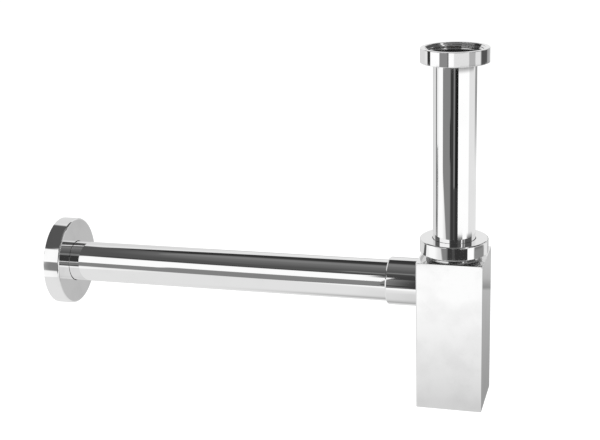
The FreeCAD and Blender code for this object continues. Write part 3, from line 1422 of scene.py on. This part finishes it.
@dataclass
class CleaningPlug(SubAssembly):
    """Threaded plug in the underside, with a coin slot, and its sealing ring."""

    head_thickness: float = 3.0
    head_edge: float = 0.35
    head_back_edge: float = 0.15
    shank_wall: float = 2.4
    shank_edge: float = 0.2
    shank_foot: float = 0.5
    thread_clearance: float = -0.02
    thread_start: float = 0.2
    thread_run_in: float = 0.8
    thread_chamfer: float = 0.9
    groove_depth: float = 1.6
    groove_half: float = 1.1
    ring_radius: float = 18.8
    ring_steps: int = 20
    slot_length: float = 24.0
    slot_width: float = 3.0
    slot_depth: float = 1.4
    slot_steps: int = 8
    overshoot: float = 1.0

    def coin_slot(self, low: float) -> bpy.types.Mesh:
        """The coin slot as a bar with round ends, to cut out of the head.

        Args:
            low: Height of the head's underside.

        Returns:
            The closed mesh.
        """
        half_width = self.slot_width / 2 * MM
        straight = self.slot_length / 2 * MM - half_width
        rim = []
        for side in (1, -1):
            for step in range(self.slot_steps + 1):
                angle = math.pi * (step / self.slot_steps - 0.5)
                x = side * (straight + half_width * math.cos(angle))
                rim.append((x, side * half_width * math.sin(angle)))
        levels = ((low - self.overshoot) * MM, (low + self.slot_depth) * MM)
        return stacked("coin slot", [[(x, y, z) for x, y in rim] for z in levels])

    def make_plug(self) -> None:
        """Turns the plug, with its ring groove and thread, and cuts the slot."""
        plug = Extent.of("cleaning_plug")
        low, high = plug.low.z, plug.high.z
        seat = low + self.head_thickness
        form = PLUG_THREAD.freed(self.thread_clearance)
        root, crest = form.minor_radius, form.major_radius
        bore = root - self.shank_wall
        inner, outer = self.ring_radius - self.groove_half, self.ring_radius + self.groove_half
        groove = seat - self.groove_depth
        corners = [
            Corner(0, low),
            Corner(plug.across, low, self.head_edge),
            Corner(plug.across, seat, self.head_back_edge),
            Corner(outer, seat),
            Corner(outer, groove),
            Corner(inner, groove),
            Corner(inner, seat),
            Corner(root, seat + self.thread_start),
            Corner(crest, seat + self.thread_run_in, threaded=True),
            Corner(crest, high - self.thread_chamfer, threaded=True),
            Corner(crest - self.thread_chamfer, high, threaded=True),
            Corner(bore, high, self.shank_edge),
            Corner(bore, seat, self.shank_foot),
            Corner(0, seat),
        ]
        chrome = self.finishes.turned
        mesh = self.lathe.turn("cleaning plug", corners, chrome.material, Thread.OUTSIDE, form)
        self.add("cleaning_plug", combined(mesh, self.coin_slot(low), Work.CUT), chrome)

    def make_ring(self) -> None:
        """Turns the sealing ring, which is round in section."""
        ring = Extent.of("plug_ring")
        section = (ring.high.z - ring.low.z) / 2
        centre = ring.across - section
        corners = []
        for step in range(self.ring_steps):
            angle = math.tau * step / self.ring_steps
            radius = centre + section * math.cos(angle)
            corners.append(Corner(radius, ring.middle_height + section * math.sin(angle)))
        self.add_turned("plug_ring", corners, self.finishes.rubber)

    def build(self) -> None:
        """Makes the plug and its ring."""
        self.make_plug()
        self.make_ring()


def soft_step(distance: np.ndarray, blur: float) -> np.ndarray:
    """0 outside and 1 inside, with a smooth change over the blur."""
    share = np.clip(distance / blur + 0.5, 0.0, 1.0)
    return share * share * (3 - 2 * share)


@dataclass(frozen=True)
class DisplayCurve:
    """The standard curve between displayed greys and linear light."""

    white: float = 255.0
    knee: float = 0.04045
    toe: float = 12.92
    offset: float = 0.055
    power: float = 2.4

    def light(self, tones: np.ndarray) -> np.ndarray:
        """Linear light of displayed greys.

        Args:
            tones: The greys, from 0 to white.

        Returns:
            The light, from 0 to 1.
        """
        shares = np.clip(tones, 0, self.white) / self.white
        bright = ((shares + self.offset) / (1 + self.offset)) ** self.power
        return np.where(shares <= self.knee, shares / self.toe, bright)


@dataclass(frozen=True)
class Spots:
    """Points on the studio's surfaces: how far right, back and up each is, in millimetres."""

    x: np.ndarray
    y: np.ndarray
    z: np.ndarray

    @property
    def reach(self) -> np.ndarray:
        """Distances from the inlet axis."""
        return np.hypot(self.x, self.y)

    @property
    def azimuth(self) -> np.ndarray:
        """Directions from the inlet axis in degrees, 0 towards the viewer and 90 to the right."""
        return np.degrees(np.arctan2(self.x, -self.y))


Tones = Callable[[Spots], np.ndarray]
Keep = Callable[[np.ndarray, np.ndarray], np.ndarray]


@dataclass(frozen=True)
class Fade:
    """A change of tone that grows steadily from nothing at the start to all of it at the end."""

    start: float
    end: float
    change: float = 1.0

    def at(self, place: np.ndarray) -> np.ndarray:
        """How much of the change there is at each place."""
        return self.change * np.clip((place - self.start) / (self.end - self.start), 0, 1)


@dataclass(frozen=True)
class WallCard:
    """A soft-edged card on the studio's round wall, which the chrome mirrors.

    Azimuths are in degrees, 0 towards the viewer and 90 to the right; heights are in
    millimetres; the tone is the grey, from 0 to 255, that the chrome shows of it. A slope is
    the rise for each degree to the right, and the top follows the bottom's unless it has one.
    """

    name: str
    left: float
    right: float
    bottom: float
    top: float
    tone: float
    side_blur: float = 2.0
    end_blur: float = 20.0
    slope: float = 0.0
    top_slope: float | None = None

    def cover(self, spots: Spots) -> np.ndarray:
        """How much of the card lies at each point of the wall.

        Args:
            spots: The points.

        Returns:
            Shares from 0 to 1.
        """
        off = (spots.azimuth - (self.left + self.right) / 2 + 180) % 360 - 180
        top_slope = self.slope if self.top_slope is None else self.top_slope
        over_bottom = spots.z - (self.bottom + self.slope * off)
        under_top = self.top + top_slope * off - spots.z
        inside = (self.right - self.left) / 2 - np.abs(off)
        ends = soft_step(over_bottom, self.end_blur) * soft_step(under_top, self.end_blur)
        return soft_step(inside, self.side_blur) * ends


NUT_BAND = (-108.6, -80.0)
NUT_BAND_BLUR = 3.0


def nut_band(part: str, left: float, right: float, tone: float, side_blur: float) -> WallCard:
    """A card in the narrow band of the wall that the union nut and the collar mirror."""
    name = f"nut band {part}"
    return WallCard(name, left, right, *NUT_BAND, tone, side_blur, NUT_BAND_BLUR)


NEAR_CARDS = (
    WallCard("upper wall", -200, 200, 345, 900, 80, 1, 90),
    WallCard("upper wall behind", -180, -106, 345, 900, 50, 6, 60),
    WallCard("back softbox", -178, -144, -300, 300, 238, 10, 60),
    WallCard("back wall below", -183, -141, -420, -40, 200, 4, 60),
    WallCard("shade at the back right", 137, 178, -192, 0, 146, 6, 110),
    WallCard("back softbox top", -178, -120, 20, 345, 228, 8, 60),
    WallCard("right back top", 140, 179, 135, 400, 80, 4, 30),
    WallCard("back floor line", 150, 200, -352, -325, 185, 4, 6),
    WallCard("left wall", -142, -107, -420, 160, 216, 8, 60),
    WallCard("left seam", -105.5, -98, -345, -110, 85, 4, 8),
    WallCard("left softbox", -88, -50, -420, 100, 252, 22, 60),
    WallCard("dark left", -113, -74, -72, 122, 92, 6, 20),
    WallCard("dark upper left", -113, -62, 118, 900, 83, 6, 24),
    WallCard("upper left softbox", -74, -12, -95, 400, 252, 1.5, 45),
    WallCard("shadow over the softbox", -76, -15.7, 205, 330, 68, 2, 44, 3.3),
    WallCard("wall over the shadow", -76, -15.7, 305, 900, 81, 2, 60, 3.3, 0.0),
    WallCard("shadow at the softbox corner", -19.5, -12, 170, 420, 68, 2, 44),
    WallCard("dark past the softbox", -113, -60, 106, 900, 83, 3, 20),
    WallCard("light under the ceiling", -112, -44, 590, 1500, 103, 14, 360),
    WallCard("ceiling light line", -30, -14, 490, 620, 124, 3, 50),
    WallCard("front left board", -55.4, -14, -323, -98, 130, 1.6, 26, -4.2, 0.0),
    WallCard("dark right", 25, 116, -90, 900, 84, 4, 20),
    WallCard("light strip", 46, 53, -60, 140, 250, 2, 20),
    WallCard("lamp on the right", 46, 56, 160, 760, 250, 3, 40),
    WallCard("weak strip", 60, 68, -60, 140, 165, 4, 20),
    WallCard("right softbox", 22, 88, -400, -107, 255, 1.5, 3),
    # painted shade: a dark strip that the inlet tube mirrors just under the union nut, in place of
    # the nut's shade
    WallCard("painted shade strip under the nut", 24, 122, -112.8, -104, 112, 3, 5),
    WallCard("front floor edge", 22, 53, -360, -317, 52, 2.5, 9),
    WallCard("right floor edge", 79, 118, -360, -317, 92, 9, 9),
    WallCard("right floor", 79, 124, -360, -325, 138, 9, 3),
    nut_band("left", -92, -78.5, 52, 3),
    nut_band("left panel", -78, -42.5, 255, 2),
    nut_band("board", -42.5, -14.5, 136, 2),
    nut_band("front", -14.5, 9, 255, 6),
    nut_band("middle", 5, 55, 224, 4),
    nut_band("grey", 54.5, 77, 175, 3),
    nut_band("right", 77, 104, 224, 3),
    nut_band("dark", 101, 138, 82, 9),
    nut_band("back", 136, 160, 165, 12),
    nut_band("far back", 160, 210, 208, 12),
)

FAR_CARDS = (
    WallCard("far left panel", -40, 60, -400, 900, 118, 1, 20),
    WallCard("dark over the panel", -40, 60, 235, 900, 62, 1, 40),
    WallCard("dark line on the panel", -40, 60, -305, -245, 50, 1, 20),
    WallCard("figure behind the camera", -12.6, 60, -400, 900, 56, 3.5, 20),
    WallCard("glint on the stand", 2.2, 10.6, -400, 10, 122, 2, 60),
    WallCard("dark of the stand", 11.2, 40, -400, 10, 29, 2, 60),
)


@dataclass(frozen=True)
class Wall:
    """A round wall of the studio: its ground tone and the cards on it."""

    radius: float
    ground: float
    cards: tuple[WallCard, ...]

    def tones(self, spots: Spots) -> np.ndarray:
        """Tones of the wall, with later cards over earlier ones.

        Args:
            spots: The points.

        Returns:
            Their tones.
        """
        tones = np.full(len(spots.z), self.ground)
        for card in self.cards:
            tones += (card.tone - tones) * card.cover(spots)
        return tones


@dataclass(frozen=True)
class Ceiling:
    """Tones of the ceiling: brightest overhead, dark at the back, with one long lamp."""

    height: float = 700.0
    rings: tuple[float, ...] = (0.5, *range(20, 641, 20), 700, 900, 940)
    overhead: float = 122.0
    fades: tuple[Fade, ...] = (Fade(40, -60, -14), Fade(-120, -490, -24), Fade(200, 360, -66))
    line_tone: float = 124.0
    line_reach: Fade = Fade(560, 590)
    line_start: Fade = Fade(-330, -270)
    lamp_tone: float = 250.0
    lamp_start: tuple[float, float] = (640.0, -400.0)
    lamp_end: tuple[float, float] = (110.0, 480.0)
    lamp_width: float = 90.0
    lamp_blur: float = 24.0

    def lamp_cover(self, spots: Spots) -> np.ndarray:
        """How much of the long lamp lies at each point.

        Args:
            spots: The points.

        Returns:
            Shares from 0 to 1.
        """
        (start_x, start_y), (end_x, end_y) = self.lamp_start, self.lamp_end
        run_x, run_y = end_x - start_x, end_y - start_y
        length = math.hypot(run_x, run_y)
        off_x, off_y = spots.x - start_x, spots.y - start_y
        along = (off_x * run_x + off_y * run_y) / length
        aside = np.abs(off_x * run_y - off_y * run_x) / length
        inside = (self.lamp_width / 2 - aside, along, length - along)
        return math.prod(soft_step(distance, self.lamp_blur) for distance in inside)

    def tones(self, spots: Spots) -> np.ndarray:
        """Tones of the ceiling.

        Args:
            spots: The points.

        Returns:
            Their tones.
        """
        tones = self.overhead + sum(fade.at(spots.y) for fade in self.fades)
        line = self.line_reach.at(spots.reach) * (spots.y < 0) * self.line_start.at(spots.x)
        tones += (self.line_tone - tones) * line
        return tones + (self.lamp_tone - tones) * self.lamp_cover(spots)


@dataclass(frozen=True)
class Floor:
    """Tones of the floor as the chrome shows them, and its true grey."""

    height: float = -345.0
    rings: tuple[float, ...] = (0.5, *range(10, 720, 10), 900, 1500, 3000, 9000)
    colour: float = 0.8
    lift: float = 0.45
    near: float = 210.0
    outwards: Fade = Fade(200, 460)
    outwards_gain: float = 43.0
    outwards_power: float = 0.7
    left: float = 225.0
    left_inset: float = 50.0
    left_spread: Fade = Fade(300, 500, 140)
    left_blur: float = 70.0
    behind: float = 224.0
    behind_fade: Fade = Fade(120, 320, -38)
    right: float = 151.0
    right_start: float = 60.0
    right_fades: tuple[Fade, ...] = (Fade(178, 446, 25), Fade(480, 540, 12))
    right_step: float = 449.0
    right_step_fade: Fade = Fade(484, 450, -38)
    shade: float = 52.0
    shade_centre: tuple[float, float] = (-70.0, 38.0)
    shade_reach: tuple[float, float] = (110.0, 42.0)
    past_tone: float = 57.0
    past_fade: Fade = Fade(-10, -2, 0.75)

    def tones(self, spots: Spots) -> np.ndarray:
        """Tones inside the near wall: dark under the body, dimmer behind it.

        Args:
            spots: The points.

        Returns:
            Their tones.
        """
        x, y, reach = spots.x, spots.y, spots.reach
        front = self.near + self.outwards_gain * self.outwards.at(reach) ** self.outwards_power
        inset = self.left_inset + self.left_spread.at(reach)
        front += (self.left - front) * np.clip((-x - inset) / self.left_blur, 0, 1)
        middle_x, middle_y = self.shade_centre
        reach_x, reach_y = self.shade_reach
        off = ((x - middle_x) / reach_x) ** 2 + ((y - middle_y) / reach_y) ** 2
        tones = np.where(y > 0, self.behind + self.behind_fade.at(y), front)
        tones = tones - self.shade * np.exp(-off)
        right = self.right + sum(fade.at(y) for fade in self.right_fades)
        right += self.right_step_fade.at(y) * (y > self.right_step)
        return np.where((x > 0) & (y > self.right_start), right, tones)

    def tones_past_wall(self, spots: Spots, far_wall: Wall) -> np.ndarray:
        """Tones past the near wall's opening, which are close to those of the far wall.

        Args:
            spots: The points.
            far_wall: The far wall.

        Returns:
            Their tones.
        """
        tones = far_wall.tones(spots)
        return tones + (self.past_tone - tones) * self.past_fade.at(spots.azimuth)


@dataclass(frozen=True)
class SoftLamp:
    """A large soft lamp that doesn't show in the chrome. Its places and size are in metres."""

    name: str
    place: tuple[float, float, float]
    size: float
    power: float
    aim: tuple[float, float, float] = (-0.12, 0.0, -0.15)

    def build(self) -> None:
        """Makes the lamp and turns it to the trap."""
        data = bpy.data.lights.new(self.name, "AREA")
        data.shape = "DISK"
        data.size = self.size
        data.energy = self.power
        lamp = linked(self.name, data)
        lamp.location = self.place
        aim = Vector(self.aim) - lamp.location
        lamp.rotation_euler = aim.to_track_quat("-Z", "Y").to_euler()
        lamp.visible_glossy = False


@dataclass
class Studio:
    """Floor, mirrored surroundings, lamps and world."""

    wall: Wall = Wall(580.0, 226.0, NEAR_CARDS)
    far_wall: Wall = Wall(900.0, 118.0, FAR_CARDS)
    ceiling: Ceiling = Ceiling()
    floor: Floor = Floor()
    curve: DisplayCurve = DisplayCurve()
    wall_overlap: tuple[float, float] = (8.0, 4.0)
    row: float = 4.0
    column: float = 0.5
    floor_column: float = 1.5
    far_sector: tuple[float, float] = (-34.0, 46.0)
    opening: tuple[float, float] = (-16.75, 27.25)
    beam: tuple[float, float] = (-108.5, -86.0)
    beam_start: float = -12.2
    mirror_level: float = 0.9
    even_light: float = 0.75
    lamps: tuple[SoftLamp, ...] = (
        SoftLamp("key lamp", (-0.7, -1.1, 1.1), 1.2, 9.0),
        SoftLamp("fill lamp", (0.9, -0.6, 0.9), 0.9, 3.0),
    )

    def glow_mesh(
        self,
        name: str,
        radii: float | Sequence[float],
        heights: float | Sequence[float],
        azimuths: np.ndarray,
        tones: Tones,
        keep: Keep | None = None,
    ) -> bpy.types.Mesh:
        """A turned sheet of studio surface that holds its own glow.

        Args:
            name: The mesh's name.
            radii: Radius of each ring, or one for all.
            heights: Height of each ring, or one for all.
            azimuths: Azimuth of each column, in degrees.
            tones: Gives the tones at the sheet's points.
            keep: Tells from a face's azimuth and height whether it is there.

        Returns:
            The mesh, with the mirrored light in its glow attribute.
        """
        radius, height = np.broadcast_arrays(np.array(radii, float), np.array(heights, float))
        angle = np.radians(azimuths)
        columns = len(angle)
        across = np.outer(radius, np.sin(angle)).ravel()
        back = np.outer(radius, -np.cos(angle)).ravel()
        spots = Spots(across, back, np.repeat(height, columns))
        rings, steps = np.arange(len(radius) - 1), np.arange(columns - 1)
        level, step = (part.ravel() for part in np.meshgrid(rings, steps, indexing="ij"))
        corner = level * columns + step
        if keep:
            middle = (azimuths[step] + azimuths[step + 1]) / 2
            corner = corner[keep(middle, (height[level] + height[level + 1]) / 2)]
        faces = np.stack([corner, corner + 1, corner + 1 + columns, corner + columns], axis=-1)
        places = np.stack([spots.x, spots.y, spots.z], axis=-1) * MM
        mesh = bpy.data.meshes.new(name)
        mesh.from_pydata(places, [], faces.tolist())
        layer = mesh.attributes.new("glow", "FLOAT", "POINT")
        light = self.curve.light(tones(spots)) / self.mirror_level
        layer.data.foreach_set("value", light.astype(np.float32))
        return mesh

    def floor_tones(self, spots: Spots) -> np.ndarray:
        """Tones of the whole floor, inside the near wall and past its opening.

        Args:
            spots: The points.

        Returns:
            Their tones.
        """
        past = self.floor.tones_past_wall(spots, self.far_wall)
        beyond = (spots.reach > self.wall.radius) & self.in_opening(spots.azimuth)
        return np.where(beyond, past, self.floor.tones(spots))

    def in_opening(self, azimuth: np.ndarray) -> np.ndarray:
        """Tells which azimuths look out through the opening of the near wall."""
        return (azimuth > self.opening[0]) & (azimuth < self.opening[1])

    def wall_stands(self, azimuth: np.ndarray, height: np.ndarray) -> np.ndarray:
        """Tells which faces of the near wall are there: all but the opening, and its beam."""
        beam = (height > self.beam[0]) & (height < self.beam[1]) & (azimuth > self.beam_start)
        return ~self.in_opening(azimuth) | beam

    def place(self, mesh: bpy.types.Mesh, material: bpy.types.Material) -> bpy.types.Object:
        """Puts a stage object in the scene.

        Args:
            mesh: Its mesh.
            material: Its material.

        Returns:
            The new object.
        """
        mesh.materials.append(material)
        item = linked(mesh.name, mesh)
        return item

    def glow_material(self) -> bpy.types.Material:
        """A surface that gives the light in its glow attribute.

        Returns:
            The material.
        """
        material = bpy.data.materials.new("studio glow")
        graph = emptied(material)
        light = graph.node("ShaderNodeEmission", None, {"Strength": graph.mark("glow")})
        graph.node("ShaderNodeOutputMaterial", None, {"Surface": light.outputs[0]})
        return material

    def floor_material(self) -> bpy.types.Material:
        """A pale matt floor, which the chrome sees by its glow attribute instead.

        Returns:
            The material.
        """
        material = bpy.data.materials.new("pale floor")
        graph = emptied(material)
        rays = graph.node("ShaderNodeLightPath").outputs
        seen = Value(graph, rays["Is Camera Ray"])
        matt = graph.value("ShaderNodeBsdfDiffuse", None, {"Color": grey(self.floor.colour)})
        lift = graph.value("ShaderNodeEmission", None, {"Strength": seen * self.floor.lift})
        both = graph.value("ShaderNodeAddShader", None, {0: matt, 1: lift})
        glow = graph.value("ShaderNodeEmission", None, {"Strength": graph.mark("glow")})
        sockets = {0: rays["Is Glossy Ray"], 1: both, 2: glow}
        mixed = graph.value("ShaderNodeMixShader", None, sockets)
        graph.node("ShaderNodeOutputMaterial", None, {"Surface": mixed})
        return material

    def make_walls(self) -> None:
        """The round wall with its opening, the far wall behind it, and the ceiling."""
        below, above = self.wall_overlap
        bottom, top = self.floor.height - below, self.ceiling.height + above
        heights = np.arange(bottom, top, self.row)
        half = self.column / 2
        turn = np.arange(-180.0, 180.0 + half, self.column)
        sector = np.arange(self.far_sector[0], self.far_sector[1] + half, self.column)
        near, far, over = self.wall, self.far_wall, self.ceiling
        sheets = (
            self.glow_mesh("studio_wall", near.radius, heights, turn, near.tones, self.wall_stands),
            self.glow_mesh("studio_far_wall", far.radius, heights, sector, far.tones),
            self.glow_mesh("studio_ceiling", over.rings, over.height, turn, over.tones),
        )
        material = self.glow_material()
        for mesh in sheets:
            sheet = self.place(mesh, material)
            for ray in ("camera", "diffuse", "shadow", "transmission"):
                setattr(sheet, f"visible_{ray}", False)

    def make_floor(self) -> None:
        """The pale floor, which holds the trap's shadow."""
        rings, height = self.floor.rings, self.floor.height
        turn = np.arange(-180.0, 180.0 + self.floor_column / 2, self.floor_column)
        mesh = self.glow_mesh("studio_floor", rings, height, turn, self.floor_tones)
        self.place(mesh, self.floor_material())

    def make_world(self) -> None:
        """White beyond the floor, and an even light on what isn't metal."""
        world = bpy.data.worlds.new("white surroundings")
        bpy.context.scene.world = world
        graph = emptied(world)
        seen = graph.value("ShaderNodeLightPath", output="Is Camera Ray")
        strength = self.even_light + seen * (1 - self.even_light)
        sockets = {"Color": grey(1.0), "Strength": strength}
        light = graph.value("ShaderNodeBackground", None, sockets)
        graph.node("ShaderNodeOutputWorld", None, {"Surface": light})

    def build(self) -> None:
        """Makes the studio."""
        self.make_walls()
        self.make_floor()
        self.make_world()
        for lamp in self.lamps:
            lamp.build()
        bpy.context.scene.view_settings.view_transform = "Standard"


@dataclass(frozen=True)
class PhotoView:
    """Camera of the photograph: its place and lens in millimetres, its angles in degrees."""

    place: tuple[float, float, float] = (137.64, -895.3, 155.92)
    turn_left: float = 16.074
    look_down: float = 17.116
    lean: float = -1.864
    lens: float = 75.294
    sensor: float = 36.0

    def build(self) -> None:
        """Makes the camera."""
        yaw, pitch, roll = map(math.radians, (self.turn_left, self.look_down, self.lean))
        level_reach = math.cos(pitch)
        ahead = Vector((
            -math.sin(yaw) * level_reach, math.cos(yaw) * level_reach, -math.sin(pitch)
        ))
        level = Vector((math.cos(yaw), math.sin(yaw), 0.0))
        above = level.cross(ahead)
        right = math.cos(roll) * level + math.sin(roll) * above
        up = math.cos(roll) * above - math.sin(roll) * level
        data = bpy.data.cameras.new("photo view")
        data.lens = self.lens
        data.sensor_width = self.sensor
        camera = linked("photo view", data)
        turned = Matrix((right, up, -ahead)).transposed().to_4x4()
        camera.matrix_world = Matrix.Translation(Vector(self.place) * MM) @ turned
        bpy.context.scene.camera = camera


def main() -> None:
    """Builds every sub-assembly, the studio and the camera."""
    logging.basicConfig(level=logging.INFO, format="%(message)s")
    axis_height = Extent.of("wall_flange").middle_height
    finishes = Finishes(axis_height)
    lathe = Lathe()
    for kind in (
        InletUnion, NeckJoint, SquareBody, OutletSocket, OutletPipe, WallFlange, CleaningPlug
    ):
        kind(lathe, finishes, axis_height).build()
    Studio().build()
    PhotoView().build()


if __name__ == "__main__":
    main()
